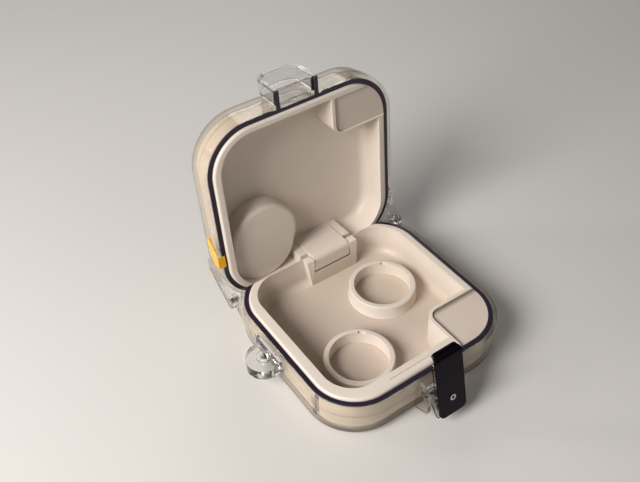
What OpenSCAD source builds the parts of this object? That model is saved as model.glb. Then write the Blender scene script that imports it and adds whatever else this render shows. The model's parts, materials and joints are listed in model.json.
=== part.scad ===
// Pocket case for contact lenses: a cream clamshell inside a clear outer case.
// The clear case has black rims, a sprung front latch and a lanyard eye.
// The parting plane between the base and the closed lid is z = base_h.

/* [Case] */
// Width of the cream tray across its rim
tray_w = 68; // [60:0.5:90]
// Depth of the cream tray, front to back
tray_d = 66.4; // [62:0.2:90]
// Radius of the rim's corners, seen from above
corner_r = 15.4; // [14:0.2:20]
// Height of the base, from the table to the parting plane
base_h = 16.5; // [16:0.1:24]
// Height of the lid, above the parting plane
lid_h = 13.8; // [13.2:0.1:20]
// Gap between the base and the closed lid
parting_gap = 0.3; // [0.2:0.05:0.5]
// Angle of the open lid, counted from closed
open_angle = 94.2; // [60:0.1:94.6]
// Gap between pieces that are fixed together
fit = 0.1; // [0.05:0.01:0.15]
// Gap between pieces that move past each other
run_gap = 0.3; // [0.2:0.05:0.4]

/* [Clear covers] */
// How far the cream bodies stand outside their rims
body_lip = 0.9; // [0.6:0.1:1.6]
// Wall of the clear covers
cover_wall = 1.5; // [1.2:0.1:2]
// Floor of the clear base cover
cover_floor = 1.8; // [1.2:0.1:2.4]
// Roof of the clear lid cover
cover_roof = 1.4; // [1:0.1:2]
// How far the covers' flanges stand outside their walls
flange_step = 0.6; // [0.4:0.1:1]
// Height of the covers' flanges
flange_h = 4.2; // [2.5:0.1:4.2]
// Radius along the bottom edge of the cream tray
tray_edge_r = 2.4; // [1.5:0.1:3]
// Radius along the top edge of the cream lid liner
liner_edge_r = 2.8; // [1.5:0.1:3.4]
// Depth of the ledge behind the tray, above which the back of the base is cut away
ledge_drop = 10.2; // [10:0.1:11]

/* [Black rims] */
// Width of the black rims
band_w = 1.7; // [1.4:0.1:2.4]
// Thickness of the black rims
band_t = 0.6; // [0.5:0.05:0.8]
// Step from the top of a cream rim down to its black rim
band_drop = 0.9; // [0.9:0.05:1.1]
// Half of the break in the lid's rim at the bracket
band_break = 9.6; // [9.2:0.1:12]
// Width of the lid rim's strip across that break
band_strip = 1.1; // [0.8:0.1:1.3]
// Width of the two black straps that run out under the bracket
strap_w = 1.4; // [1:0.1:1.8]

/* [Tray] */
// Thickness of the tray's floor
tray_floor = 2.2; // [1.2:0.1:3]
// Width of the rim on the left
rim_left = 3.8; // [2.5:0.1:5]
// Width of the rim on the right
rim_right = 2.9; // [1.5:0.1:4]
// Width of the rim at the front
rim_front = 4.9; // [3:0.1:6]
// Thickness of the wall at the back
back_wall = 1.1; // [1:0.1:1.4]
// How far the rim's back is cut flat inside its outline
back_flat = 1.7; // [1.6:0.1:1.8]
// Radius of the hollow's corners
hollow_r = 11; // [8:0.5:12]
// Radius between the hollow's walls and its floor
floor_r = 3; // [1.5:0.1:3.4]
// Radius along the top edge of the rims
rim_edge_r = 0.9; // [0.4:0.1:0.9]
// Length of the thin groove in the front rim
groove_l = 26; // [16:1:34]
// Distance of that groove from the rim's outer edge
groove_in = 2.5; // [1.5:0.1:3.5]
// Left edge of the corner shelf
shelf_x = 12.2; // [11.5:0.1:16]
// Back edge of the corner shelf
shelf_y = -15.1; // [-18:0.1:-12]
// Radius of the shelf's free corner
shelf_r = 5; // [3:0.1:6]
// Width of the lip along the shelf's free edges
shelf_lip = 1.2; // [0.8:0.1:1.8]
// Depth of the grey plate below the lip
plate_drop = 0.7; // [0.5:0.05:0.8]
// Thickness of the grey plates
plate_t = 0.8; // [0.5:0.1:0.8]

/* [Lens rings] */
// Wall of a ring
ring_wall = 1.8; // [1.4:0.1:1.9]
// Inner radius of a ring
ring_bore_r = 10.3; // [9:0.1:10.6]
// Depth of the rings' tops below the parting plane
ring_drop = 6.9; // [5:0.1:9]
// How far a ring's foot flares
ring_flare = 0.4; // [0:0.1:0.4]
// Width of the notch in a ring's top edge
notch_w = 2.4; // [1:0.1:4]
// Depth of that notch
notch_depth = 0.9; // [0.4:0.1:2]
// Centre of the front ring, left and right
front_ring_x = -12.8; // [-13:0.1:-12]
// Centre of the front ring, front and back
front_ring_y = -13; // [-13:0.1:-11]
// Centre of the back ring, left and right
back_ring_x = 14; // [13:0.1:16]
// Centre of the back ring, front and back
back_ring_y = 9; // [8:0.1:12]

/* [Lid liner] */
// Width of the liner's rim on its sides
liner_rim = 2.6; // [2:0.1:4]
// Width of the liner's rim at the front
liner_rim_front = 2; // [1.8:0.1:3]
// Width of the liner's rim at the back
liner_rim_back = 2; // [1.6:0.1:2.4]
// Thickness of the liner's ceiling
liner_ceiling = 1.8; // [1:0.1:2.2]
// Radius of the liner hollow's corners
liner_hollow_r = 12.8; // [10:0.1:13]
// Radius of the round boss
boss_r = 13.2; // [11:0.1:14]
// Gap between the boss and the parting plane
boss_drop = 3.2; // [2.5:0.1:5]
// Radius along the boss's edge
boss_edge_r = 1.4; // [0.6:0.1:2]
// Centre of the boss, left and right
boss_x = -17.2; // [-19:0.1:-16]
// Centre of the boss, front and back
boss_y = 14.5; // [13:0.1:16]
// Left edge of the lid's corner block
block_x = 12.2; // [10:0.1:16]
// Back edge of the lid's corner block
block_y = -16.6; // [-20:0.1:-14]
// Width of the lip between the block's back edge and its grey plate
block_lip = 0.5; // [0.4:0.1:1.2]
// Width of the liner's rim in front of the grey plate
plate_rim = 2.4; // [2:0.1:4]

/* [Hinges] */
// Distance of the hinge axis inside the tray's flat back
axis_in = 2; // [1.9:0.05:2.1]
// Depth of the hinge axis below the parting plane
axis_drop = 2.3; // [2.2:0.05:2.4]
// Centre of the hinge block, left and right
block_mid = 5; // [2:0.5:8]
// Width of the hinge block
block_w = 15.4; // [10:0.2:18]
// Height of the hinge block above the parting plane
block_top = 8.7; // [6:0.1:9.2]
// Width of the cheeks on either side of the block
cheek_w = 3; // [2.4:0.1:4]
// Radius of the inner hinge pin
inner_pin_r = 1; // [0.6:0.05:1.1]
// Radius of the outer hinge knuckles
knuckle_r = 2.3; // [1.8:0.05:2.3]
// Radius of the outer hinge pins
outer_pin_r = 0.8; // [0.5:0.05:1]
// Width of an outer hinge knuckle
knuckle_w = 1.5; // [1:0.1:1.6]
// Clearance round a turning pin
pin_gap = 0.05; // [0.03:0.01:0.08]

/* [Latch] */
// Distance of the latch's pivot in front of the base cover's wall
pivot_out = 3.9; // [3.6:0.1:4.5]
// Depth of the latch's pivot below the parting plane
pivot_drop = 4.3; // [4:0.1:5]
// Lean of the latch's plate
latch_tilt = 12.77; // [11:0.1:13.5]
// Width of the black plate
plate_w = 10.8; // [8:0.1:11]
// Thickness of the black plate
latch_t = 0.8; // [0.5:0.05:0.85]
// Distance from the pivot to the plate's outer face
plate_out = 4.74; // [4.7:0.02:5.2]
// Length of the plate above the pivot
plate_up = 17.2; // [16:0.1:17.4]
// Length of the plate below the pivot
plate_down = 8.4; // [6:0.1:9]
// Radius of the lip at the plate's top
lip_r = 2.6; // [1.6:0.1:2.6]
// Radius of the plate's corners
plate_r = 2; // [1:0.1:3]
// Thickness of the clear carrier behind the plate
carrier_t = 0.65; // [0.5:0.05:0.7]
// How far the carrier's edges stand outside the plate
carrier_edge = 0.4; // [0.2:0.05:0.45]
// Radius of the carrier's barrel
barrel_r = 2.2; // [1.8:0.1:2.3]
// Radius of the latch pin
latch_pin_r = 0.8; // [0.5:0.05:0.9]
// Width of the clear lugs that hold the pin
lug_w = 1.5; // [1:0.1:2]
// Height of the tooth on the carrier
tooth_h = 2.2; // [1.4:0.1:3]
// Half width of the tooth
tooth_half = 4; // [2:0.1:4.5]
// Radius of the rivet's head
rivet_r = 1.1; // [0.8:0.1:1.5]

/* [Spring] */
// Radius of the coil, at the middle of the wire
coil_r = 1.45; // [1.25:0.05:1.5]
// Radius of the spring wire
wire_r = 0.25; // [0.15:0.01:0.28]
// Turns of the spring
coil_turns = 5; // [3:1:5]
// Advance of one turn
coil_pitch = 0.75; // [0.65:0.05:0.8]

/* [Bracket] */
// Half width of the clear bracket
bracket_half = 8.4; // [8:0.1:9]
// Depth of the bracket in front of the lid cover's wall
bracket_out = 5.2; // [5:0.1:5.3]
// Height of the bracket's top above the parting plane
bracket_top = 15.2; // [14.8:0.1:16]
// Thickness of the bracket's bar that the tooth holds
bar_t = 1.1; // [0.8:0.1:1.2]
// Width of the bracket's side walls
bracket_wall = 2.1; // [1.6:0.1:2.2]
// Radius of the bracket's outer top corners
bracket_r = 5.4; // [3:0.1:6]

/* [Lanyard eye] */
// Radius of the eye's rounded end
eye_r = 6.3; // [5:0.1:8]
// Depth of the eye's top below the parting plane
eye_drop = 4.9; // [4.7:0.1:6]
// Length of the eye's gusset along the wall
gusset_l = 15; // [9:0.5:16]
// Distance of the eye's hole outside the cover's wall
eye_out = 4.4; // [4:0.1:6]
// Thickness of the eye
eye_t = 4; // [2.5:0.1:5]
// Radius of the hole for the cord
eye_hole_r = 1.4; // [1:0.1:2]
// Place of the eye, front and back
eye_y = 4; // [-4:0.5:8]

/* [Orange tab] */
// Thickness of the orange tab
tab_t = 0.4; // [0.3:0.1:1]
// Gap between the orange tab and the lid's hinge lug
tab_gap = 1.3; // [0.5:0.1:6]
// Length of the orange tab
tab_l = 10.4; // [6:0.2:11]
// Height of the orange tab
tab_h = 5.8; // [4:0.1:8]

/* [Hidden] */
$fn = 64;
eps = 0.01;
far = 100;

cream = "#E6D9CB";
grey_cream = "#CFC2B6";
clear = [0.80, 0.82, 0.86, 0.45];
black = "#1B141F";
steel = "#B9BCC2";
orange = "#F0A000";

// How far each outline lies outside the cream rim's outline
cover_in = body_lip + fit;
cover_out = cover_in + cover_wall;
flange_out = cover_out + flange_step;

// Heights that the base and the lid share, counted from the parting plane
band_low = band_drop + band_t;
cover_top = band_low + fit;
lid_band_low = parting_gap + band_drop;
lid_band_top = lid_band_low + band_t;
lid_cover_low = lid_band_top + fit;
flange_low = band_drop + flange_h;
lid_flange_top = lid_band_low + flange_h;
tray_bottom = base_h - cover_floor - fit;
floor_drop = tray_bottom - tray_floor;
liner_top = lid_h - cover_roof - fit;
ceiling_h = liner_top - liner_ceiling;

// Inner and outer edges of the walls
wall_x = tray_w / 2 + cover_out;
front_wall_y = -(tray_d / 2 + cover_out);
back_y = tray_d / 2 - back_flat;
hollow_left = -tray_w / 2 + rim_left;
hollow_right = tray_w / 2 - rim_right;
hollow_front = -tray_d / 2 + rim_front;
hollow_back = back_y - back_wall;

// The hinge axis, and the radius inside which the base may stand behind it
axis_y = back_y - axis_in;
back_trim_r = axis_drop + parting_gap - 0.25;
block_front = 2.6;
block_back = 3.5;
block_low = 2;
block_front_r = 1.8;
block_back_r = 0.6;
pocket_r = norm([block_back, block_low]) + 1.5 * run_gap;
block_x0 = block_mid - block_w / 2;
block_x1 = block_mid + block_w / 2;
slot_x0 = block_x0 - run_gap;
slot_x1 = block_x1 + run_gap;
housing_x0 = slot_x0 - cheek_w;
housing_x1 = slot_x1 + cheek_w;
housing_y = axis_y - block_low - fit;
fin_foot = 1.8;
liner_cheek_y = axis_y - block_front + 0.2;
pin_blind = 1;

// The outer hinges stand outside the rounded back corners
lug_side = 0.2;
base_lug_l = 5.9;
base_lug_h = 7;
lid_lug_l = 12;
lid_lug_h = 8.6;
lid_lug_top_l = 7;
lid_lug_step = 4.8;
lid_lug_turn = 25;
lug_base_x0 = tray_w / 2 + lug_side;
lug_base_x1 = lug_base_x0 + knuckle_w;
lug_lid_x0 = lug_base_x1 + run_gap;
lug_lid_x1 = lug_lid_x0 + knuckle_w;

// A lens ring's outside
ring_r = ring_bore_r + ring_wall;

// The latch and its bracket
pivot_y = front_wall_y - pivot_out;
carrier_half = plate_w / 2 + carrier_edge;
barrel_half = carrier_half + 0.1;
lug_x0 = barrel_half + run_gap;
lug_x1 = lug_x0 + lug_w;
bracket_low = lid_cover_low;
bar_top = bracket_low + bar_t;
bracket_front = front_wall_y - bracket_out;
window_half = bracket_half - bracket_wall;
window_top = bracket_top - 1.6;
window_r = bracket_r - 2.4;
latch_lug_top_l = 2.3;
latch_lug_front_h = 5.6;
latch_lug_heel_h = 3.2;
latch_lug_root_h = 4.2;
strap_in = 0.3;
tab_in = 0.8;
tab_y0 = axis_y - lid_lug_l - tab_gap - tab_l;
spring_half = coil_turns * coil_pitch / 2 + wire_r + 0.2;

// The eye
eye_x = -(wall_x + eye_out - 1.4);
eye_boss_h = 0.5;
gusset_out = 1.5;
gusset_foot = 1.6;
gusset_top = 0.6;

// Rectangle with round corners, centred
module round_rect(w, d, r) {
    square([w - 2 * r, d], center = true);
    square([w, d - 2 * r], center = true);
    for (sx = [-1, 1], sy = [-1, 1])
        translate([sx * (w / 2 - r), sy * (d / 2 - r)]) circle(r);
}

// The cream rim's outline, grown outwards, between two heights
module outline(grow, z0, z1) {
    translate([0, 0, z0])
        linear_extrude(z1 - z0)
            round_rect(tray_w + 2 * grow, tray_d + 2 * grow, corner_r + grow);
}

// Section of a block whose two lower edges have radius e
module edge_section(w, h, e) {
    translate([-w / 2, e]) square([w, h - e]);
    translate([-w / 2 + e, 0]) square([w - 2 * e, 2 * e]);
    for (s = [-1, 1]) translate([s * (w / 2 - e), e]) circle(e);
}

// Half of that section, for one round corner of radius r
module corner_section(r, h, e) {
    translate([0, e]) square([r, h - e]);
    square([r - e, 2 * e]);
    translate([r - e, e]) circle(e);
}

// Block with round upright corners r and a round edge e all round its floor
module soft_block(w, d, r, h, e) {
    rotate([90, 0, 90]) linear_extrude(w - 2 * r, center = true) edge_section(d, h, e);
    rotate([90, 0, 0]) linear_extrude(d - 2 * r, center = true) edge_section(w, h, e);
    for (k = [0:3])
        translate([
            (k == 0 || k == 3 ? 1 : -1) * (w / 2 - r),
            (k < 2 ? 1 : -1) * (d / 2 - r),
            0
        ])
            rotate([0, 0, 90 * k]) rotate_extrude(angle = 90) corner_section(r, h, e);
}

// The same block on the grown outline, standing on z0 or hanging from z1
module standing_block(grow, z0, h, e) {
    translate([0, 0, z0])
        soft_block(tray_w + 2 * grow, tray_d + 2 * grow, corner_r + grow, h, e);
}

module hanging_block(grow, z1, h, e) {
    translate([0, 0, z1])
        mirror([0, 0, 1])
            soft_block(tray_w + 2 * grow, tray_d + 2 * grow, corner_r + grow, h, e);
}

// Heights are counted from the parting plane
module on_base() {
    translate([0, 0, base_h]) children();
}

// Lid pieces are drawn closed and swung open about the hinge axis
module on_lid() {
    on_base()
        translate([0, axis_y, -axis_drop])
            rotate([-open_angle, 0, 0])
                translate([0, -axis_y, axis_drop]) children();
}

// Latch pieces are drawn upright about the pivot, then leant back
module on_latch() {
    on_base() translate([0, pivot_y, -pivot_drop]) rotate([-latch_tilt, 0, 0]) children();
}

// Rod along X between two places
module rod(r, x0, x1, y, z) {
    translate([x0, y, z]) rotate([0, 90, 0]) cylinder(r = r, h = x1 - x0);
}

// Outline in the YZ plane, drawn out along X
module along_x(x0, x1) {
    translate([x0, 0, 0]) rotate([90, 0, 90]) linear_extrude(x1 - x0) children();
}

// Everything behind a plane and above a height
module behind(y, z) {
    translate([-far, y, z]) cube([2 * far, far, far]);
}

// Corner region to the right of x and in front of y, with a round free corner
module corner_region(x, y, r, z0, z1) {
    translate([0, 0, z0])
        linear_extrude(z1 - z0) {
            translate([x, y - far]) square([far, far - r]);
            translate([x + r, y - far]) square([far, far]);
            translate([x + r, y - r]) circle(r);
        }
}

// Tray hollow, wide open above the rim
module tray_hollow(drop, e) {
    translate([(hollow_left + hollow_right) / 2, (hollow_front + hollow_back) / 2, -drop])
        soft_block(
            hollow_right - hollow_left, hollow_back - hollow_front, hollow_r, drop + 5, e
        );
}

// Lug of an outer base hinge, in the YZ plane
module base_lug_outline() {
    translate([axis_y, -axis_drop]) circle(knuckle_r);
    polygon([
        [axis_y - knuckle_r, -axis_drop],
        [axis_y - base_lug_l, -band_drop],
        [axis_y - base_lug_l, -axis_drop - base_lug_h],
        [axis_y, -axis_drop - knuckle_r],
        [axis_y, -axis_drop]
    ]);
}

// Three-cornered lug of an outer lid hinge, in the YZ plane of the closed lid
module lid_lug_outline() {
    translate([axis_y, -axis_drop]) circle(knuckle_r);
    polygon([
        [axis_y - knuckle_r, -axis_drop],
        [axis_y - lid_lug_step, parting_gap],
        [axis_y - lid_lug_step, lid_band_low],
        [axis_y - lid_lug_l, lid_band_low],
        [axis_y - lid_lug_l, lid_band_low + lid_lug_h],
        [axis_y - lid_lug_top_l, lid_band_low + lid_lug_h],
        [
            axis_y + knuckle_r * cos(lid_lug_turn),
            -axis_drop + knuckle_r * sin(lid_lug_turn)
        ],
        [axis_y, -axis_drop]
    ]);
}

// One of the two clear lugs that carry the latch, in the YZ plane
module latch_lug_outline() {
    lug_front = pivot_y - barrel_r;
    translate([pivot_y, -pivot_drop]) circle(barrel_r);
    polygon([
        [front_wall_y + cover_wall / 2, -band_drop],
        [front_wall_y - latch_lug_top_l, -band_drop],
        [lug_front + 0.7, -pivot_drop + barrel_r * 0.75],
        [lug_front, -pivot_drop],
        [lug_front, -base_h + latch_lug_front_h],
        [front_wall_y - 0.5, -base_h + latch_lug_heel_h],
        [front_wall_y + cover_wall / 2, -base_h + latch_lug_root_h]
    ]);
}

// The band lies in a rebate of the flange
module base_cover() {
    color(clear) on_base()
        difference() {
            union() {
                difference() {
                    union() {
                        standing_block(
                            cover_out, -base_h, base_h - cover_top, tray_edge_r + cover_wall
                        );
                        outline(flange_out, -flange_low, -band_drop);
                    }
                    standing_block(cover_in, -base_h + cover_floor, base_h, tray_edge_r + fit);
                    behind(back_y - fit, -ledge_drop);
                }
                for (s = [-1, 1]) {
                    along_x(
                        s > 0 ? lug_base_x0 : -lug_base_x1, s > 0 ? lug_base_x1 : -lug_base_x0
                    )
                        base_lug_outline();
                    along_x(s > 0 ? lug_x0 : -lug_x1, s > 0 ? lug_x1 : -lug_x0)
                        latch_lug_outline();
                }
            }
            outline(band_w + fit, -cover_top, base_h);
            for (s = [-1, 1])
                rod(
                    outer_pin_r + pin_gap, s * (lug_base_x0 + knuckle_w / 2) - knuckle_w / 2 - fit,
                    s * (lug_base_x0 + knuckle_w / 2) + knuckle_w / 2 + fit, axis_y, -axis_drop
                );
            rod(latch_pin_r + pin_gap, -far, far, pivot_y, -pivot_drop);
        }
}

module base_rim_band() {
    color(black) on_base()
        difference() {
            outline(band_w, -band_low, -band_drop);
            outline(fit, -band_low - 1, 1);
            behind(back_y - fit, -far / 2);
        }
}

module base_tray() {
    color(cream) on_base()
        difference() {
            union() {
                hanging_block(0, 0, cover_top + 1, rim_edge_r);
                standing_block(body_lip, -tray_bottom, tray_bottom - cover_top, tray_edge_r);
            }
            difference() {
                tray_hollow(floor_drop, floor_r);
                corner_region(shelf_x, shelf_y, shelf_r, -far / 2, far);
                hinge_housing();
            }
            // The wall behind is flat, and its top is rounded about the hinge axis
            behind(back_y, -ledge_drop - fit);
            difference() {
                behind(axis_y, -axis_drop);
                rod(back_trim_r, -far, far, axis_y, -axis_drop);
            }
            // Recess of the grey plate, out through the rim
            corner_region(
                shelf_x + shelf_lip, shelf_y - shelf_lip, shelf_r - shelf_lip,
                -plate_drop - plate_t - fit, far
            );
            // Round pocket in which the hinge block turns
            rod(pocket_r, slot_x0, slot_x1, axis_y, -axis_drop);
            rod(
                inner_pin_r + pin_gap, housing_x0 + pin_blind, housing_x1 + 1,
                axis_y, -axis_drop
            );
            // Thin groove along the front rim
            translate([-groove_l / 2 - 1, -tray_d / 2 + groove_in, -0.35])
                cube([groove_l, 0.3, 1]);
        }
}

// Housing of the inner hinge, with a tapered fin on its left
module hinge_housing() {
    translate([0, far, 0])
        rotate([90, 0, 0])
            linear_extrude(far - housing_y)
                polygon([
                    [housing_x0, 1],
                    [housing_x1, 1],
                    [housing_x1, -far],
                    [housing_x0 + fin_foot, -far],
                    [housing_x0 + fin_foot, -floor_drop],
                    [housing_x0, 0]
                ]);
}

// Low ring that holds a lens cup, with a flared foot and a notch in its top edge
module lens_ring(x, y) {
    ring_h = floor_drop - ring_drop - fit;
    translate([x, y, -floor_drop + fit])
        difference() {
            rotate_extrude()
                difference() {
                    union() {
                        translate([ring_bore_r, 0]) square([ring_r - ring_bore_r, ring_h - 0.6]);
                        translate([ring_bore_r, ring_h - 0.6])
                            square([ring_r - ring_bore_r - 0.6, 0.6]);
                        translate([ring_r - 0.6, ring_h - 0.6]) circle(0.6);
                        polygon([
                            [ring_r - 0.2, 0],
                            [ring_r + ring_flare, 0],
                            [ring_r, 1.6],
                            [ring_r - 0.2, 1.6]
                        ]);
                    }
                }
            rotate([0, 0, 50])
                translate([ring_bore_r - 1, -notch_w / 2, ring_h - notch_depth])
                    cube([1.8, notch_w, 2]);
        }
}

module lens_ring_front() {
    color(cream) on_base() lens_ring(front_ring_x, front_ring_y);
}

module lens_ring_back() {
    color(cream) on_base() lens_ring(back_ring_x, back_ring_y);
}

module base_corner_plate() {
    lip = shelf_lip + fit;
    color(grey_cream) on_base()
        intersection() {
            hanging_block(0, 0, cover_top + 1, rim_edge_r);
            corner_region(
                shelf_x + lip, shelf_y - lip, shelf_r - lip,
                -plate_drop - plate_t, -plate_drop
            );
        }
}

module lanyard_eye() {
    color(clear) on_base()
        difference() {
            union() {
                translate([eye_x, eye_y, -eye_drop - eye_t]) cylinder(r = eye_r, h = eye_t);
                translate([eye_x, eye_y, -eye_drop - eye_t])
                    cylinder(r = eye_hole_r + 1.2, h = eye_t + eye_boss_h);
                // Gusset up to the black rim
                translate([0, eye_y - gusset_l / 2, 0])
                    translate([-wall_x - gusset_out, 0, -eye_drop - gusset_foot])
                        cube([
                            gusset_out, gusset_l,
                            eye_drop + gusset_foot - band_drop - gusset_top
                        ]);
            }
            outline(cover_out + fit, -far, far);
            outline(flange_out + fit, -flange_low - fit, far);
            translate([eye_x, eye_y, -far]) cylinder(r = eye_hole_r, h = 2 * far);
        }
}

module inner_hinge_pin() {
    color(steel) on_base()
        rod(
            inner_pin_r, housing_x0 + pin_blind + fit, housing_x1 - fit,
            axis_y, -axis_drop
        );
}

module outer_pin(x0, x1) {
    color(steel) on_base() rod(outer_pin_r, x0, x1, axis_y, -axis_drop);
}

module hinge_pin_left() {
    outer_pin(-lug_lid_x1 + fit, -lug_base_x0 - fit);
}

module hinge_pin_right() {
    outer_pin(lug_base_x0 + fit, lug_lid_x1 - fit);
}

module latch_pin() {
    color(steel) on_base() rod(latch_pin_r, -lug_x1 + fit, lug_x1 - fit, pivot_y, -pivot_drop);
}

// Points along the spring wire: a leg to the case, the turns, a leg to the carrier
wire_steps = 12;
wire_sides = 6;
coil_len = coil_turns * coil_pitch;
leg_start = 1;
leg_end = 8;
case_leg_y = pivot_out - wire_r - 1.5 * fit;
case_leg = [
    [-coil_len / 2, case_leg_y, -3.2]
];
coil_points = [
    for (k = [leg_start:coil_turns * wire_steps - leg_end])
        let (a = 360 * k / wire_steps)
            [-coil_len / 2 + coil_pitch * k / wire_steps, coil_r * cos(a), coil_r * sin(a)]
];
carrier_leg = [
    [coil_len / 2 - 0.6 * coil_pitch, -coil_r - 2.3 * wire_r, 2 * wire_r]
];
wire_path = concat(case_leg, coil_points, carrier_leg);

// Tube swept along points, with a level ring of sides at each point
function unit(v) = v / norm(v);
function tangent(p, k) = unit(p[min(k + 1, len(p) - 1)] - p[max(k - 1, 0)]);
function ring_at(p, k, r, sides) =
    let (
        t = tangent(p, k),
        u = unit(cross(t, [t[0] * t[0] > 0.9 ? 0 : 1, t[0] * t[0] > 0.9 ? 1 : 0, 0.001])),
        v = cross(t, u)
    )
    [for (s = [0:sides - 1]) p[k] + r * (cos(360 * s / sides) * u + sin(360 * s / sides) * v)];
module tube(p, r, sides) {
    n = len(p);
    polyhedron(
        points = [for (k = [0:n - 1]) each ring_at(p, k, r, sides)],
        faces = concat(
            [[for (s = [0:sides - 1]) s]],
            [
                for (k = [0:n - 2], s = [0:sides - 1])
                    let (a = k * sides + s, b = k * sides + (s + 1) % sides)
                        each [[a, a + sides, b], [b, a + sides, b + sides]]
            ],
            [[for (s = [0:sides - 1]) n * sides - 1 - s]]
        )
    );
}

module latch_spring() {
    color(steel) on_base() translate([0, pivot_y, -pivot_drop]) tube(wire_path, wire_r, wire_sides);
}

// Black plate with round corners and a lip that curls inwards at its top
module latch_plate() {
    bend = plate_up - lip_r;
    color(black) on_latch()
        difference() {
            intersection() {
                along_x(-plate_w / 2, plate_w / 2) {
                    translate([-plate_out, -plate_down]) square([latch_t, plate_down + bend]);
                    difference() {
                        translate([-plate_out + lip_r, bend]) circle(lip_r);
                        translate([-plate_out + lip_r, bend]) circle(lip_r - latch_t);
                        translate([-plate_out + lip_r, -far / 2]) square([far, far]);
                        translate([-far / 2, bend - far]) square([far, far]);
                    }
                }
                translate([0, far / 2, (plate_up - plate_down) / 2])
                    rotate([90, 0, 0])
                        linear_extrude(far)
                            round_rect(plate_w, plate_up + plate_down, plate_r);
            }
            rivet_hole();
        }
}

module rivet_hole() {
    translate([0, -far / 2, -1.4]) rotate([-90, 0, 0]) cylinder(r = 0.7, h = far / 2 - 2.9);
}

module latch_rivet() {
    color(steel) on_latch()
        translate([0, -plate_out, -1.4])
            rotate([90, 0, 0]) {
                difference() {
                    translate([0, 0, fit / 2]) cylinder(r = rivet_r, h = 0.3);
                    translate([0, 0, 0.25]) cylinder(r = rivet_r - 0.45, h = 1);
                }
                translate([0, 0, -latch_t - carrier_t - 0.2])
                    cylinder(r = 0.65, h = latch_t + carrier_t + 0.3);
            }
}

// Clear carrier: a web behind the plate, a barrel on the pin, gussets and the tooth
module latch_carrier() {
    web_y = -plate_out + latch_t + 0.02;
    color(clear) {
        on_latch()
            difference() {
                union() {
                    translate([0, web_y + carrier_t, (plate_up - lip_r - plate_down) / 2])
                        rotate([90, 0, 0])
                            linear_extrude(carrier_t)
                                round_rect(
                                    2 * carrier_half, plate_up - lip_r + plate_down - 0.4, plate_r
                                );
                    rod(barrel_r, -barrel_half, barrel_half, 0, 0);
                    along_x(-barrel_half, barrel_half)
                        polygon([
                            [web_y + eps, -barrel_r],
                            [0, -barrel_r],
                            [0, barrel_r * 0.6],
                            [web_y + eps, barrel_r * 0.3]
                        ]);
                    for (s = [-1, 1])
                        along_x(
                            s * (carrier_half - 0.6) - 0.6, s * (carrier_half - 0.6) + 0.6
                        )
                            polygon([
                                [web_y + eps, 0],
                                [0, -barrel_r * 0.8],
                                [web_y + carrier_t + 0.4, -plate_down + 0.6],
                                [web_y + eps, -plate_down + 0.6]
                            ]);
                }
                rod(latch_pin_r + pin_gap, -far, far, 0, 0);
                // Room for the spring
                rod(barrel_r + run_gap, -spring_half, spring_half, 0, 0);
                rivet_hole();
            }
        // The tooth rests over the bracket's bar
        tooth_low = bar_top + run_gap;
        tooth_root = pivot_y - plate_out * cos(latch_tilt)
            + (tooth_low + pivot_drop) * tan(latch_tilt);
        on_base()
            along_x(-tooth_half, tooth_half)
                polygon([
                    [tooth_root + latch_t + carrier_t / 2 + 0.1, tooth_low],
                    [bracket_front + 1.5, tooth_low],
                    [bracket_front + 1.5, tooth_low + tooth_h * 0.35],
                    [
                        tooth_root + latch_t + carrier_t / 2 + 0.1 + tooth_h * tan(latch_tilt),
                        tooth_low + tooth_h
                    ]
                ]);
    }
}

module lid_cover() {
    color(clear) on_lid()
        difference() {
            union() {
                difference() {
                    union() {
                        hanging_block(
                            cover_out, lid_h, lid_h - lid_cover_low, liner_edge_r + cover_roof
                        );
                        outline(flange_out, lid_band_low, lid_flange_top);
                    }
                    hanging_block(cover_in, lid_h - cover_roof, lid_h, liner_edge_r + fit);
                    // Seat of the bracket, and the break beside it
                    translate([-bracket_half - fit, front_wall_y - far, 0])
                        cube([2 * (bracket_half + fit), far, far]);
                    translate([-band_break, -far, 0]) cube([2 * band_break, far, lid_cover_low]);
                }
                for (s = [-1, 1])
                    along_x(
                        s > 0 ? lug_lid_x0 : -lug_lid_x1, s > 0 ? lug_lid_x1 : -lug_lid_x0
                    )
                        lid_lug_outline();
            }
            outline(band_w + fit, 0, lid_cover_low);
            for (s = [-1, 1])
                rod(
                    outer_pin_r + pin_gap, s * (lug_lid_x0 + knuckle_w / 2) - knuckle_w / 2 - fit,
                    s * (lug_lid_x0 + knuckle_w / 2) + knuckle_w / 2 + fit, axis_y, -axis_drop
                );
        }
}

module lid_rim_band() {
    strap_x = bracket_half - strap_in - strap_w / 2;
    color(black) on_lid() {
        difference() {
            outline(band_w, lid_band_low, lid_band_top);
            outline(fit, 0, far);
            translate([-band_break, -tray_d / 2 - fit - band_strip - far, 0])
                cube([2 * band_break, far, far]);
        }
        for (s = [-1, 1])
            translate([s * strap_x - strap_w / 2, bracket_front, lid_band_low])
                cube([strap_w, -tray_d / 2 - fit - 0.5 - bracket_front, band_t]);
    }
}

// Hollow of the lid liner, open below
module liner_hollow(grow, z0) {
    w = tray_w - 2 * liner_rim;
    d = tray_d - liner_rim_front - liner_rim_back;
    translate([0, (liner_rim_front - liner_rim_back) / 2, ceiling_h])
        mirror([0, 0, 1])
            soft_block(w + 2 * grow, d + 2 * grow, liner_hollow_r + grow, ceiling_h - z0, floor_r);
}

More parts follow.
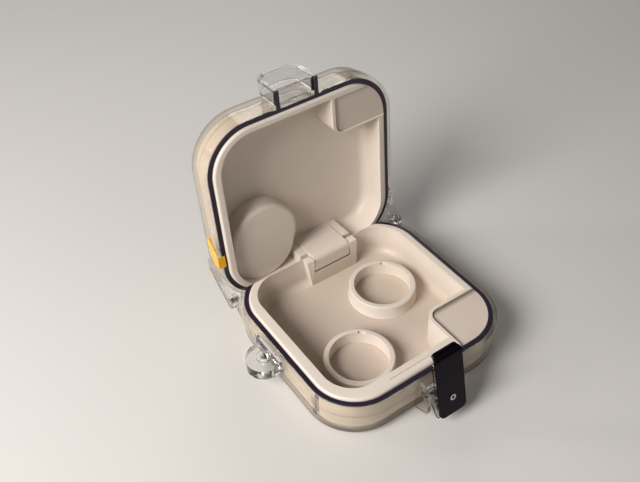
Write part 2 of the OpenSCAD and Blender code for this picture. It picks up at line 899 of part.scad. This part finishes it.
module lid_liner() {
    boss_h = ceiling_h - boss_drop + 0.5;
    color(cream) on_lid()
        difference() {
            union() {
                standing_block(0, parting_gap, lid_cover_low + 1, rim_edge_r);
                hanging_block(body_lip, liner_top, liner_top - lid_cover_low, liner_edge_r);
            }
            difference() {
                liner_hollow(0, -1);
                // Cheeks beside the hinge block, and the pad above it
                translate([housing_x0, liner_cheek_y, -far])
                    cube([housing_x1 - housing_x0, far, 2 * far]);
                // Round boss, joined to the corner behind it
                translate([boss_x, boss_y, boss_drop]) boss(boss_r, boss_h);
                translate([
                    -tray_w / 2 + liner_rim + liner_hollow_r,
                    tray_d / 2 - liner_rim_back - liner_hollow_r,
                    boss_drop
                ])
                    boss(liner_hollow_r + 0.5, boss_h);
                corner_region(block_x, block_y, shelf_r - 0.5, -far / 2, far);
            }
            // Notch that takes the hinge block
            translate([block_x0 - fit, liner_cheek_y - 1, -1])
                cube([block_w + 2 * fit, far, block_top + fit + 1]);
            // Recess of the grey plate, out through the rim on the right
            block_plate_region(0, -1, parting_gap + plate_drop + plate_t + fit);
        }
}

// Where the lid's grey plate lies, drawn in by a gap, between two heights
module block_plate_region(in, z0, z1) {
    intersection() {
        corner_region(
            block_x + shelf_lip + in, block_y - block_lip - in, shelf_r - 0.5 - shelf_lip - in,
            z0, z1
        );
        behind(-tray_d / 2 + plate_rim + in, -far / 2);
    }
}

// Disc with a round lower edge
module boss(r, h) {
    rotate_extrude() {
        translate([0, boss_edge_r]) square([r, h - boss_edge_r]);
        square([r - boss_edge_r, 2 * boss_edge_r]);
        translate([r - boss_edge_r, boss_edge_r]) circle(boss_edge_r);
    }
}

// Block that turns in the tray's pocket and carries the lid liner
module hinge_block() {
    y0 = axis_y - block_front;
    y1 = axis_y + block_back;
    z0 = -axis_drop - block_low;
    color(cream) on_lid()
        difference() {
            along_x(block_x0, block_x1) {
                translate([y0, z0 + block_front_r])
                    square([y1 - y0, block_top - z0 - block_front_r]);
                translate([y0 + block_front_r, z0])
                    square([y1 - y0 - block_front_r - block_back_r, 2 * block_front_r]);
                translate([y0 + block_front_r, z0 + block_front_r]) circle(block_front_r);
                translate([y1 - block_back_r, z0 + block_back_r]) circle(block_back_r);
                translate([y1 - 2 * block_back_r, z0 + block_back_r])
                    square([2 * block_back_r, block_front_r]);
            }
            rod(inner_pin_r + pin_gap, block_x0 - 1, block_x1 + 1, axis_y, -axis_drop);
        }
}

module lid_corner_plate() {
    color(grey_cream) on_lid()
        intersection() {
            standing_block(0, parting_gap, lid_cover_low + 1, rim_edge_r);
            block_plate_region(
                fit, parting_gap + plate_drop, parting_gap + plate_drop + plate_t
            );
        }
}

// D-shaped clear loop on the lid's front: the latch drops into its window
module catch_bracket() {
    height = bracket_top - bracket_low;
    color(clear) on_lid()
        difference() {
            translate([0, front_wall_y - fit, bracket_low])
                rotate([90, 0, 0])
                    linear_extrude(bracket_out - fit) {
                        translate([-bracket_half, 0])
                            square([2 * bracket_half, height - bracket_r]);
                        translate([-bracket_half + bracket_r, 0])
                            square([2 * (bracket_half - bracket_r), height]);
                        for (s = [-1, 1])
                            translate([s * (bracket_half - bracket_r), height - bracket_r])
                                circle(bracket_r);
                    }
            translate([0, front_wall_y + 1, bar_top])
                rotate([90, 0, 0])
                    linear_extrude(far) {
                        translate([-window_half, 0])
                            square([2 * window_half, window_top - bar_top - window_r]);
                        translate([-window_half + window_r, 0])
                            square([2 * (window_half - window_r), window_top - bar_top]);
                        for (s = [-1, 1])
                            translate([
                                s * (window_half - window_r), window_top - bar_top - window_r
                            ])
                                circle(window_r);
                    }
        }
}

// Orange tab laid on the lid cover's left side, folded over its flange and black rim
module orange_tab() {
    tab_low = lid_band_low - fit - tab_t;
    tab_side = wall_x + flange_step + fit + tab_t;
    color(orange) on_lid() {
        difference() {
            translate([-tab_side, 0, 0])
                along_x(0, tab_side - wall_x)
                    polygon([
                        [tab_y0, tab_low + tab_h * 0.75],
                        [tab_y0 + tab_l * 0.45, tab_low],
                        [tab_y0 + tab_l, tab_low],
                        [tab_y0 + tab_l, tab_low + tab_h * 0.55],
                        [tab_y0 + tab_l * 0.5, tab_low + tab_h],
                        [tab_y0, tab_low + tab_h]
                    ]);
            outline(flange_out + fit, -1, lid_flange_top + fit);
            outline(cover_out + fit, -1, far);
        }
        translate([-tab_side, tab_y0 + tab_l * 0.55, tab_low])
            cube([tab_side - tray_w / 2 - tab_in, tab_l * 0.45, tab_t]);
    }
}

base_cover();
base_rim_band();
base_tray();
lens_ring_front();
lens_ring_back();
base_corner_plate();
lanyard_eye();
inner_hinge_pin();
hinge_pin_left();
hinge_pin_right();
latch_pin();
latch_spring();
latch_plate();
latch_carrier();
latch_rivet();
lid_cover();
lid_rim_band();
lid_liner();
hinge_block();
lid_corner_plate();
catch_bracket();
orange_tab();
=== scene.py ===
import json
import math

import bmesh
import bpy
import numpy as np
from mathutils import Matrix, Vector


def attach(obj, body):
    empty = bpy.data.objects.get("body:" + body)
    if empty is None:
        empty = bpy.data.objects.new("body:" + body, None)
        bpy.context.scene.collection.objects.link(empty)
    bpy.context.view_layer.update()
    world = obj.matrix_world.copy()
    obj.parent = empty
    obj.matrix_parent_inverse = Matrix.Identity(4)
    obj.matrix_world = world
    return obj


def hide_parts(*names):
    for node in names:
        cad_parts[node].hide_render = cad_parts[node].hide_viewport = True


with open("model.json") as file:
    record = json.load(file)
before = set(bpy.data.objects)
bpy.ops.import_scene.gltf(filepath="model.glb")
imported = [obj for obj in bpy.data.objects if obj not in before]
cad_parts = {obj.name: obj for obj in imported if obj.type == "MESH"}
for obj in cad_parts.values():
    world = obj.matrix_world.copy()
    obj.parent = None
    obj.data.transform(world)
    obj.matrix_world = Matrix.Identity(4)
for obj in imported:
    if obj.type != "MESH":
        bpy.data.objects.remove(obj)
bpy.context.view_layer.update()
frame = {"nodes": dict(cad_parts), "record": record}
mm = 0.001

# Camera

cameraView = dict(
    azimuth=-33.44,                 # degrees, where 0 looks along +Y
    elevation=43.05,
    roll=-1.99,
    distance=0.28198,               # metres, from the middle of the base's black rim
    rimHeight=0.0156,
    slideLevel=-0.01535,
    slideUp=0.02214,
    lens=46.13, sensor=36,          # millimetres
    nearest=0.01,
)


# The camera stands back from the rim's middle along (sin a cos e, -cos a cos e, sin e), slides
# level and upright by its two slides, and turns by its roll.
def makeCamera():
    a, e, r = (math.radians(cameraView[k]) for k in ("azimuth", "elevation", "roll"))
    back = Vector((math.sin(a) * math.cos(e), -math.cos(a) * math.cos(e), math.sin(e)))
    level = Vector((math.cos(a), math.sin(a), 0))
    upright = back.cross(level)
    right = level * math.cos(r) + upright * math.sin(r)
    up = upright * math.cos(r) - level * math.sin(r)
    place = Vector((0, 0, cameraView["rimHeight"])) + back * cameraView["distance"]
    place += level * cameraView["slideLevel"] + upright * cameraView["slideUp"]
    data = bpy.data.cameras.new("photoCamera")
    data.lens = cameraView["lens"]
    data.sensor_width = cameraView["sensor"]
    data.clip_start = cameraView["nearest"]
    camera = bpy.data.objects.new("photoCamera", data)
    camera.matrix_world = Matrix.Translation(place) @ Matrix((right, up, back)).transposed().to_4x4()
    bpy.context.collection.objects.link(camera)
    bpy.context.scene.camera = camera


makeCamera()
print("camera placed")


# Shader maths

# A socket that adds Math nodes when it is used in an expression.
class Sig:
    def __init__(self, finish, socket):
        self.finish, self.socket = finish, socket

    # One Math node, with this value first and the others after it.
    def maths(self, operation, *others, clamp=False):
        settings = dict(operation=operation, use_clamp=clamp)
        return self.finish.node("ShaderNodeMath", settings, [self, *others])

    # From 0 at low to 1 at high in a straight line: (value - low) / (high - low), held at both ends.
    def rise(self, low, high):
        return (self - low).maths("MULTIPLY", 1 / (high - low), clamp=True)

    def __add__(self, other):
        return self.maths("ADD", other)

    def __radd__(self, other):
        return self.maths("ADD", other)

    def __sub__(self, other):
        return self.maths("SUBTRACT", other)

    def __rsub__(self, other):
        return self.finish.node("ShaderNodeMath", dict(operation="SUBTRACT"), [other, self])

    def __mul__(self, other):
        return self.maths("MULTIPLY", other)

    def __rmul__(self, other):
        return self.maths("MULTIPLY", other)

    def __pow__(self, other):
        return self.maths("POWER", other)


# Screen colours, 0 to 255, as the linear values of Blender's sockets: v / 12.92 up to 0.04045,
# and (v + 0.055) / 1.055 to the power 2.4 above.
def rgba(*screen):
    def linear(v):
        return v / 12.92 if v <= 0.04045 else ((v + 0.055) / 1.055) ** 2.4
    return (*(linear(v / 255) for v in screen), 1)


# One material, whose nodes all come from one method.
class Finish:
    def __init__(self, name):
        self.material = bpy.data.materials.new(name)
        self.material.use_nodes = True
        self.tree = self.material.node_tree
        self.tree.nodes.clear()
        self.out = self.tree.nodes.new("ShaderNodeOutputMaterial")

    # Settings go first, then the values or links of the sockets. Sockets and the output are given
    # by number or by name.
    def node(self, kind, settings=None, sockets=(), output=0):
        made = self.tree.nodes.new(kind)
        for key, value in (settings or {}).items():
            setattr(made, key, value)
        pairs = sockets.items() if isinstance(sockets, dict) else enumerate(sockets)
        for key, value in pairs:
            if isinstance(value, Sig):
                self.tree.links.new(value.socket, made.inputs[key])
            else:
                made.inputs[key].default_value = value
        return Sig(self, made.outputs[output])

    # Colour one where the factor is 0 and two where it is 1. Plain ones are screen colours.
    def mixColour(self, factor, one, two):
        one, two = (c if isinstance(c, Sig) else rgba(*c) for c in (one, two))
        sockets = {0: factor, 6: one, 7: two}       # by number, as this node's names repeat
        return self.node("ShaderNodeMix", dict(data_type="RGBA"), sockets, output=2)

    # The point on the piece, in metres.
    def place(self):
        return self.node("ShaderNodeTexCoord", output="Object")

    # The x, y and z of that point.
    def axes(self):
        split = self.node("ShaderNodeSeparateXYZ", None, [self.place()]).socket.node
        return [Sig(self, socket) for socket in split.outputs]

    # Cloudy values from 0 to 1, about one cloud in each 1 / scale metres.
    def noise(self, scale, detail, rough=0.5, vector=None):
        return self.node("ShaderNodeTexNoise", None, {
            "Vector": vector or self.place(), "Scale": scale, "Detail": detail, "Roughness": rough})

    # The normal tilted by the slope of a height of 0 to 1 times the depth.
    def bump(self, height, strength, depth):
        return self.node("ShaderNodeBump", None,
                         {"Strength": strength, "Distance": depth, "Height": height})

    # The shader goes to the output, and the material is done.
    def surface(self, shader):
        self.tree.links.new(shader.socket, self.out.inputs["Surface"])
        return self.material


# All points of a solid as rows of x, y, z.
def pointsOf(node):
    mesh = frame["nodes"][node].data
    flat = np.zeros(3 * len(mesh.vertices))
    mesh.vertices.foreach_get("co", flat)
    return flat.reshape(-1, 3)


# Materials

creamLook = dict(
    light=(229, 218, 206), dark=(221, 208, 195), roughness=0.42, ior=1.47,
    cloud=dict(scale=60, detail=3), cloudRough=0.12,
    grain=dict(scale=5200, detail=1), grainRough=0.035, bump=dict(strength=0.12, depth=0.01 * mm),
    inside=0.12, insideReach=(0.8 * mm, 0.6 * mm, 0.5 * mm),    # light scattered under the surface
)
trayLook = dict(
    creamLook, light=(233, 222, 210), dark=(225, 212, 199),
    # Painted shade: inside its wall the tray is darkened towards the colour below near its floor, less
    # and less up to the fade height above the floor.
    paintedShadeColour=(204, 189, 174), floorHeight=4.2 * mm, fadeHeight=9.0 * mm,
)
greyLook = dict(
    creamLook, light=(216, 202, 189), dark=(208, 193, 180), roughness=0.5,
    # Painted shadow along the shelf plate's left and back edges: its colour, its width, and the blend
    # at the corner.
    paintedShadeColour=(122, 101, 85), paintedShadeReach=2.0 * mm, paintedShadeBlend=0.6,
)


# Satin moulded plastic: two creams mixed by broad clouds, with a very fine spark grain. Where shade
# is given, shade is painted in: it says how far each point is out of a painted soft shadow, and inside
# it the cream is darkened towards the look's painted shade colour.
def creamPlastic(name, look, shade=None):
    f = Finish(name)
    cloud = f.noise(**look["cloud"])
    grain = f.noise(**look["grain"])
    colour = f.mixColour(cloud, look["dark"], look["light"])
    if shade:
        # Painted shade: the colour is darkened where the shade function gives less than one.
        colour = f.mixColour(shade(f), look["paintedShadeColour"], colour)
    rough = look["roughness"] + (cloud - 0.5) * look["cloudRough"] + (grain - 0.5) * look["grainRough"]
    return f.surface(f.node("ShaderNodeBsdfPrincipled", None, {
        "Base Color": colour, "Roughness": rough, "IOR": look["ior"],
        "Subsurface Weight": look["inside"], "Subsurface Radius": look["insideReach"],
        "Subsurface Scale": 1.0,
        "Normal": f.bump(grain, **look["bump"]),
    }))


# The case in plan: where the centres of its round corners lie, and two radii about them.
cornerPlan = dict(x=18.3 * mm, y=17.5 * mm, flange=19.0 * mm, trayWall=15.9 * mm)


# One beyond a rounded outline: the squares of the distances past the corner's centre, across
# and along, add up to more than the radius squared.
def pastOutline(across, along, radius):
    u = (across.maths("ABSOLUTE") - cornerPlan["x"]).maths("MAXIMUM", 0.0)
    v = (along.maths("ABSOLUTE") - cornerPlan["y"]).maths("MAXIMUM", 0.0)
    return (u * u + v * v).maths("GREATER_THAN", radius ** 2)


# Painted shade for the tray: inside the tray's wall, the height above the floor over the height
# in which the painted shade fades, and one outside it.
def paintedTrayShade(f):
    x, y, z = f.axes()
    fade = z.rise(trayLook["floorHeight"], trayLook["floorHeight"] + trayLook["fadeHeight"])
    return fade.maths("MAXIMUM", pastOutline(x, y, cornerPlan["trayWall"]))


# Painted shadow of the lip around the shelf plate: the smaller, blended, of the distances from the
# plate's left and back edges over the reach.
def paintedShelfShadow(f):
    points = pointsOf("base_corner_plate")
    left, back = float(points[:, 0].min()), float(points[:, 1].max())
    x, y = f.axes()[:2]
    reach = greyLook["paintedShadeReach"]
    fromLeft, fromBack = (x - left) * (1 / reach), (back - y) * (1 / reach)
    return fromLeft.maths("SMOOTH_MIN", fromBack, greyLook["paintedShadeBlend"], clamp=True)


clearLook = dict(
    roughness=0.02, ior=1.47,
    ripple=dict(scale=90, detail=1), bump=dict(strength=0.05, depth=0.4 * mm),
    scratch=dict(scale=900, detail=4, rough=0.7), scratchRough=0.02,
    # The third tint is painted edge shade, which the glass is greyed towards where a face is seen from
    # the side.
    coverTint=(249, 247, 243), thickTint=(246, 246, 248), paintedEdgeShade=(170, 168, 176),
    thin=0.06, foot=0.42, thick=1.0,            # how much of a face refracts
    edge=0.9, edgeSharpness=2.2,                # and how much more at a glancing angle
    footHeight=1.2 * mm,
)


# Polished clear plastic, its colour darkened by painted shade where it is seen from the side, with
# slow ripples of the mould in its gloss. Where share is given, only part of each face refracts,
# which is the share plus glancing * edge * (1 - share), and the rest lets the light straight through.
def clearPlastic(name, tint, share=None):
    f = Finish(name)
    ripple = f.noise(**clearLook["ripple"])
    scratch = f.noise(**clearLook["scratch"])
    facing = f.node("ShaderNodeLayerWeight", None, {"Blend": 0.5}, output="Facing")
    glancing = facing ** clearLook["edgeSharpness"]
    glass = f.node("ShaderNodeBsdfPrincipled", None, {
        # Painted edge shade: greyer where the face is seen from the side.
        "Base Color": f.mixColour(glancing, tint, clearLook["paintedEdgeShade"]),
        "Roughness": clearLook["roughness"] + scratch * clearLook["scratchRough"],
        "IOR": clearLook["ior"], "Transmission Weight": 1.0,
        "Normal": f.bump(ripple, **clearLook["bump"]),
    })
    if not share:
        return f.surface(glass)
    part = share(f)
    factor = glancing * (clearLook["edge"] * (1 - part)) + part
    through = f.node("ShaderNodeBsdfTransparent", None, {"Color": rgba(*tint)})
    return f.surface(f.node("ShaderNodeMixShader", None, [factor, through, glass]))


# The base's share steps up below its foot's height, and is full on the lugs past the flange.
def baseShare(f):
    x, y, z = f.axes()
    c = clearLook
    wall = c["thin"] + z.maths("LESS_THAN", c["footHeight"]) * (c["foot"] - c["thin"])
    return wall + pastOutline(x, y, cornerPlan["flange"]) * (c["thick"] - wall)


# The lid's share is full on its lugs. The open lid stands on edge, so a point's place along the
# case's plan is its distance up the lid from the hinge line, less that line's own y.
def lidShare(f):
    hinge = next(j for j in frame["record"]["behaviour"]["joints"] if j["name"] == "lid_hinge")
    line = Vector(hinge["pos_m"])
    angle = math.radians(hinge["range_deg"][1])
    upLid = Vector((0, -math.cos(angle), math.sin(angle)))
    height = f.node("ShaderNodeVectorMath", dict(operation="DOT_PRODUCT"), [f.place(), upLid], "Value")
    plan = height - (line.dot(upLid) + line.y)
    lugs = pastOutline(f.axes()[0], plan, cornerPlan["flange"])
    return clearLook["thin"] + lugs * (clearLook["thick"] - clearLook["thin"])


bandLook = dict(
    dark=(24, 16, 32), light=(44, 32, 56), roughness=0.32, ior=1.5,
    cloud=dict(scale=140, detail=3), scuff=dict(scale=1400, detail=5, rough=0.7), scuffRough=0.2,
    bump=dict(strength=0.05, depth=0.02 * mm),
)


# Black rim: satin black with a violet cast in broad clouds, and light scuffs.
def blackBand(name, look):
    f = Finish(name)
    cloud = f.noise(**look["cloud"])
    scuff = f.noise(**look["scuff"])
    return f.surface(f.node("ShaderNodeBsdfPrincipled", None, {
        "Base Color": f.mixColour(cloud, look["dark"], look["light"]),
        "Roughness": look["roughness"] + (scuff - 0.5) * look["scuffRough"],
        "IOR": look["ior"], "Normal": f.bump(scuff, **look["bump"]),
    }))


glossLook = dict(
    dark=(3, 2, 5), light=(9, 6, 14), smear=dict(scale=260, detail=4, rough=0.6),
    roughness=0.14, smearRough=0.1, ior=1.16, glossTint=(0.70, 0.55, 1.0, 1),
    coat=0.12, coatRough=0.03,
)


# Latch plate: deep black, smeared a little by fingers, with violet in its gloss and a thin coat.
def blackGloss():
    f = Finish("blackGloss")
    look = glossLook
    smear = f.noise(**look["smear"])
    return f.surface(f.node("ShaderNodeBsdfPrincipled", None, {
        "Base Color": f.mixColour(smear, look["dark"], look["light"]),
        "Roughness": look["roughness"] + smear * look["smearRough"],
        "IOR": look["ior"], "Specular Tint": look["glossTint"],
        "Coat Weight": look["coat"], "Coat Roughness": look["coatRough"],
    }))


steelLook = dict(
    dark=(176, 177, 182), light=(212, 213, 217), rings=(6000, 300, 300), ringDetail=3,
    roughness=0.2, ringRough=0.15, bump=dict(strength=0.1, depth=0.01 * mm),
)


# Turned steel: noise drawn out across the pins, which run along X, leaves fine rings round them.
def brightSteel():
    f = Finish("brightSteel")
    look = steelLook
    drawn = f.node("ShaderNodeMapping", None, {"Vector": f.place(), "Scale": look["rings"]})
    rings = f.noise(1.0, look["ringDetail"], vector=drawn)
    return f.surface(f.node("ShaderNodeBsdfPrincipled", None, {
        "Base Color": f.mixColour(rings, look["dark"], look["light"]),
        "Metallic": 1.0, "Roughness": look["roughness"] + rings * look["ringRough"],
        "Normal": f.bump(rings, **look["bump"]),
    }))


rivetLook = dict(
    dark=(22, 20, 26), light=(206, 207, 213), radius=1.1 * mm,
    # Painted glint: dark up to the first share of the radius, full bright from the second.
    dimple=0.45, rim=0.62,              # shares of the radius
    widest=0.98,                        # share of the half width that counts as the head's widest
    wear=dict(scale=4000, detail=2), roughness=0.12, wearRough=0.12,
)


# The head's centre is the mean of the points at its widest, the two ends of its diameter.
def rivetCentre():
    points = pointsOf("latch_rivet")
    widest = np.abs(points[:, 0]) > points[:, 0].max() * rivetLook["widest"]
    return Vector(points[widest].mean(axis=0))


# Rivet: a painted ring-shaped glint, from dark in the middle of the head to bright on its rim, by
# the distance from the centre over the radius.
def dimpledSteel():
    f = Finish("dimpledSteel")
    look = rivetLook
    ends = [f.place(), rivetCentre()]
    away = f.node("ShaderNodeVectorMath", dict(operation="DISTANCE"), ends, "Value")
    rim = (away * (1 / look["radius"])).rise(look["dimple"], look["rim"])
    wear = f.noise(**look["wear"])
    return f.surface(f.node("ShaderNodeBsdfPrincipled", None, {
        "Base Color": f.mixColour(rim, look["dark"], look["light"]),
        "Metallic": 1.0, "Roughness": look["roughness"] + wear * look["wearRough"],
    }))


orangeLook = dict(
    dark=(240, 158, 0), light=(253, 194, 10), cloud=dict(scale=300, detail=3),
    roughness=0.22, cloudRough=0.1, ior=1.5, coat=0.4, coatRough=0.08,
)


# Orange tab: saturated glossy plastic, lighter and a little rougher in clouds.
def orangeGloss():
    f = Finish("orangeGloss")
    look = orangeLook
    cloud = f.noise(**look["cloud"])
    return f.surface(f.node("ShaderNodeBsdfPrincipled", None, {
        "Base Color": f.mixColour(cloud, look["dark"], look["light"]),
        "Roughness": look["roughness"] + cloud * look["cloudRough"], "IOR": look["ior"],
        "Coat Weight": look["coat"], "Coat Roughness": look["coatRough"],
    }))


cream = creamPlastic("creamPlastic", creamLook)
greyCream = creamPlastic("greyPlastic", greyLook)
# The shelf plate's grey, with a painted shadow along its left and back edges.
shelfGreyPaintedShadow = creamPlastic("shelfGreyPaintedShadow", greyLook, paintedShelfShadow)
# The tray's cream, with painted shade towards its floor.
trayCreamPaintedShade = creamPlastic("trayCreamPaintedShade", trayLook, paintedTrayShade)
clearBase = clearPlastic("clearBase", clearLook["coverTint"], baseShare)
clearLid = clearPlastic("clearLid", clearLook["coverTint"], lidShare)
clearThick = clearPlastic("clearThick", clearLook["thickTint"])
band = blackBand("blackBand", bandLook)
gloss = blackGloss()
steel = brightSteel()
orange = orangeGloss()
rivetPaintedGlint = dimpledSteel()
print("materials made")


# Pieces

bodyOf = {
    node: body
    for body, nodes in frame["record"]["behaviour"]["bodies"].items() for node in nodes
}
softening = dict(
    weld=0.002 * mm,        # points nearer than this become one
    flat=0.4,               # degrees, up to which faces are joined
    sharp=28,               # degrees, past which an edge is rounded
    segments=2,
)


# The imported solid's mesh is welded, its flat faces joined and its sharp edges rounded by a width
# in millimetres.
def softened(node, name, material, edge):
    sharp = math.radians(softening["sharp"])
    mesh = frame["nodes"][node].data.copy()
    mesh.name = name
    bm = bmesh.new()
    bm.from_mesh(mesh)
    bmesh.ops.remove_doubles(bm, verts=bm.verts, dist=softening["weld"])
    bmesh.ops.dissolve_limit(
        bm, angle_limit=math.radians(softening["flat"]), verts=bm.verts, edges=bm.edges)
    bm.to_mesh(mesh)
    bm.free()
    mesh.polygons.foreach_set("use_smooth", [True] * len(mesh.polygons))
    mesh.set_sharp_from_angle(angle=sharp)
    mesh.materials.clear()
    mesh.materials.append(material)
    piece = bpy.data.objects.new(name, mesh)
    bpy.context.collection.objects.link(piece)
    rounding = piece.modifiers.new("rounding", "BEVEL")
    rounding.width = edge * mm
    rounding.segments = softening["segments"]
    rounding.limit_method = "ANGLE"
    rounding.angle_limit = sharp
    rounding.harden_normals = True
    rounding.use_clamp_overlap = True
    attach(piece, bodyOf[node])
    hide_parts(node)


# Each solid's piece: its name, material, slot, and how far its edges are rounded, in millimetres.
looks = dict(
    base_cover=("clearCase", clearBase, "clear_plastic", 0.25),
    base_rim_band=("blackRimBase", band, "black_plastic", 0.15),
    base_tray=("trayMoulding", trayCreamPaintedShade, "cream_plastic", 0.3),
    lens_ring_front=("ringFront", cream, "cream_plastic", 0.12),
    lens_ring_back=("ringBack", cream, "cream_plastic", 0.12),
    base_corner_plate=("shelfPlate", shelfGreyPaintedShadow, "grey_plastic", 0.2),
    lanyard_eye=("lanyardEar", clearThick, "clear_plastic", 0.3),
    inner_hinge_pin=("innerPin", steel, "steel", 0.1),
    hinge_pin_left=("leftPin", steel, "steel", 0.1),
    hinge_pin_right=("rightPin", steel, "steel", 0.1),
    latch_pin=("latchAxle", steel, "steel", 0.1),
    latch_plate=("latchFace", gloss, "black_plastic", 0.36),
    latch_carrier=("latchBody", clearThick, "clear_plastic", 0.12),
    latch_rivet=("latchRivet", rivetPaintedGlint, "steel", 0.06),
    lid_cover=("clearLid", clearLid, "clear_plastic", 0.25),
    lid_rim_band=("blackRimLid", band, "black_plastic", 0.15),
    lid_liner=("linerMoulding", cream, "cream_plastic", 0.3),
    hinge_block=("hingeBlock", cream, "cream_plastic", 0.25),
    lid_corner_plate=("blockPlate", greyCream, "grey_plastic", 0.2),
    catch_bracket=("catchLoop", clearThick, "clear_plastic", 0.3),
    orange_tab=("orangeTab", orange, "orange_plastic", 0.1),
)
for node, (name, material, slot, edge) in looks.items():
    softened(node, name, material, edge)
spring = frame["nodes"]["latch_spring"]         # its own mesh is fine enough, and gets the steel
spring.data.materials.clear()
spring.data.materials.append(steel)
print("pieces dressed:", len(looks))


seamLook = dict(
    wall=34.95 * mm,                    # half the width between the straight walls
    bend=17.6 * mm, radius=17.0 * mm,   # where the wall's corner starts along y, and its radius
    start=18.9 * mm, width=1.9 * mm, thick=0.05 * mm, low=4.3 * mm, high=14.9 * mm,
    columns=6, rows=24,
    paint=dict(bandLook, dark=(46, 32, 56), light=(78, 58, 84), roughness=0.4),
)


# Thin violet strip between the tray's wall and the cover, at the front left corner, as a grid
# of points along the wall and up it. Past the bend, the wall's x is
# -wall + radius - sqrt(radius^2 - d^2), with d the distance past the bend along y.
def seamStrip():
    s = seamLook
    y = -np.linspace(s["start"], s["start"] + s["width"], s["columns"])
    past = np.clip(-y - s["bend"], 0, None)
    x = -s["wall"] + s["radius"] - np.sqrt(s["radius"] ** 2 - past ** 2)
    ringX = np.concatenate([x - s["thick"] / 2, x[::-1] + s["thick"] / 2])
    ringY = np.concatenate([y, y[::-1]])
    around = len(ringX)
    z = np.linspace(s["low"], s["high"], s["rows"])
    points = np.stack([np.tile(ringX, s["rows"]), np.tile(ringY, s["rows"]),
                       np.repeat(z, around)], axis=1)
    row, side = np.meshgrid(np.arange(s["rows"] - 1), np.arange(around), indexing="ij")
    one, two = row * around + side, row * around + (side + 1) % around
    faces = np.stack([one, two, two + around, one + around], axis=-1).reshape(-1, 4).tolist()
    top = around * (s["rows"] - 1)
    faces += [list(range(around))[::-1], list(range(top, top + around))]
    mesh = bpy.data.meshes.new("seamStrip")
    mesh.from_pydata(points.tolist(), [], faces)
    mesh.materials.append(blackBand("seamViolet", s["paint"]))
    strip = bpy.data.objects.new("seamStrip", mesh)
    bpy.context.collection.objects.link(strip)
    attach(strip, bodyOf["base_tray"])


seamStrip()
print("seam drawn")


# Stage

floorLook = dict(
    half=3.0,                           # metres, half of each side
    dark=(214, 211, 206), light=(219, 216, 212), cloud=dict(scale=8, detail=2), roughness=0.6,
)


# Plain paper, in two pale greys mixed by large clouds.
def floorPaper():
    f = Finish("floorPaper")
    cloud = f.noise(**floorLook["cloud"])
    return f.surface(f.node("ShaderNodeBsdfPrincipled", None, {
        "Base Color": f.mixColour(cloud, floorLook["dark"], floorLook["light"]),
        "Roughness": floorLook["roughness"],
    }))


# One square face at height 0.
def makeFloor():
    half = floorLook["half"]
    corners = [(-half, -half, 0), (half, -half, 0), (half, half, 0), (-half, half, 0)]
    mesh = bpy.data.meshes.new("floor")
    mesh.from_pydata(corners, [], [(0, 1, 2, 3)])
    mesh.materials.append(floorPaper())
    floor = bpy.data.objects.new("floor", mesh)
    bpy.context.collection.objects.link(floor)


# Each soft lamp: its place and its round face's width in metres, its power and its tint.
lamps = [
    dict(name="keyLamp", at=(-0.50, -0.07, 0.41), size=0.34, watts=4.9, tint=(1.0, 0.98, 0.955)),
    dict(name="fillLamp", at=(0.25, -0.55, 0.50), size=0.60, watts=0.2, tint=(0.97, 0.97, 1.0)),
    dict(name="glintLamp", at=(-0.44, 0.39, 0.27), size=0.10, watts=0.45, tint=(0.95, 0.93, 1.0)),
    dict(name="backLamp", at=(0.30, 0.55, 0.40), size=0.40, watts=0.7, tint=(1.0, 1.0, 1.0)),
]
lampAim = (0, 0, 0.02)
roomLook = dict(tint=(0.90, 0.86, 0.83, 1), strength=0.11)


# Each lamp's direction is its aim less its place.
def makeLamps():
    for lamp in lamps:
        data = bpy.data.lights.new(lamp["name"], "AREA")
        data.shape = "DISK"
        data.size = lamp["size"]
        data.energy = lamp["watts"]
        data.color = lamp["tint"]
        light = bpy.data.objects.new(lamp["name"], data)
        light.location = lamp["at"]
        aim = Vector(lampAim) - Vector(lamp["at"])
        light.rotation_euler = aim.to_track_quat("-Z", "Y").to_euler()
        bpy.context.collection.objects.link(light)


# Even light from all round, of one tint and strength.
def makeRoom():
    world = bpy.data.worlds.new("room")
    world.use_nodes = True
    background = world.node_tree.nodes["Background"]
    background.inputs["Color"].default_value = roomLook["tint"]
    background.inputs["Strength"].default_value = roomLook["strength"]
    bpy.context.scene.world = world
    bpy.context.scene.view_settings.view_transform = "Standard"


makeFloor()
makeLamps()
makeRoom()
print("stage lit")
